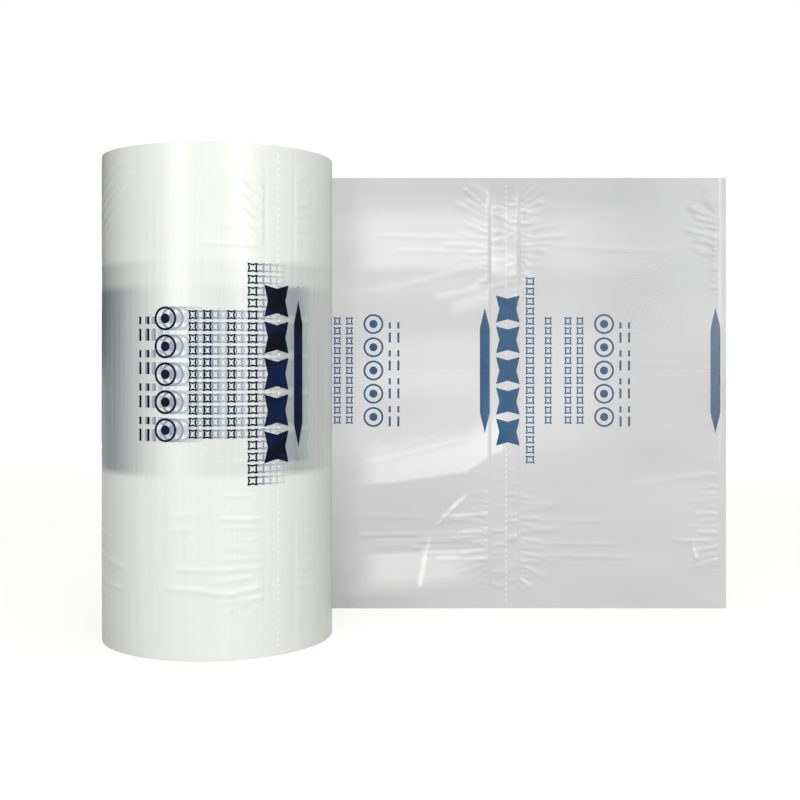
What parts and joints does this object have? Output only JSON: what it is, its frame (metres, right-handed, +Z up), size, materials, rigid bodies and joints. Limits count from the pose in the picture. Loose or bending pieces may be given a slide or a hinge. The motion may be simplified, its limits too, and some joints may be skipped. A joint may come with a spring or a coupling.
{
  "type": "air pillow film roll",
  "caption": "Roll of clear two-ply film for making air pillows, wound on a paper core and standing on end, with its free end run out flat and blue fields of print.",
  "frame": {"origin": "centre of the core's bore at the end that the roll stands on", "axes": "+Z up along the roll's axis, +X along the free end of the film, which leaves the roll at +Y; the front of the roll faces -Y"},
  "size_m": [0.2769, 0.0968, 0.2],
  "materials": {
    "film": "glossy, translucent",
    "core_board": "matte spiral-wound board",
    "ink_dark": "printed ink",
    "ink_blue": "printed ink seen through film"
  },
  "bodies": {
    "root": {"film_web": "film", "paper_core": "core_board", "print_on_roll": "ink_dark", "print_on_tail": "ink_blue"}
  },
  "joints": []
}
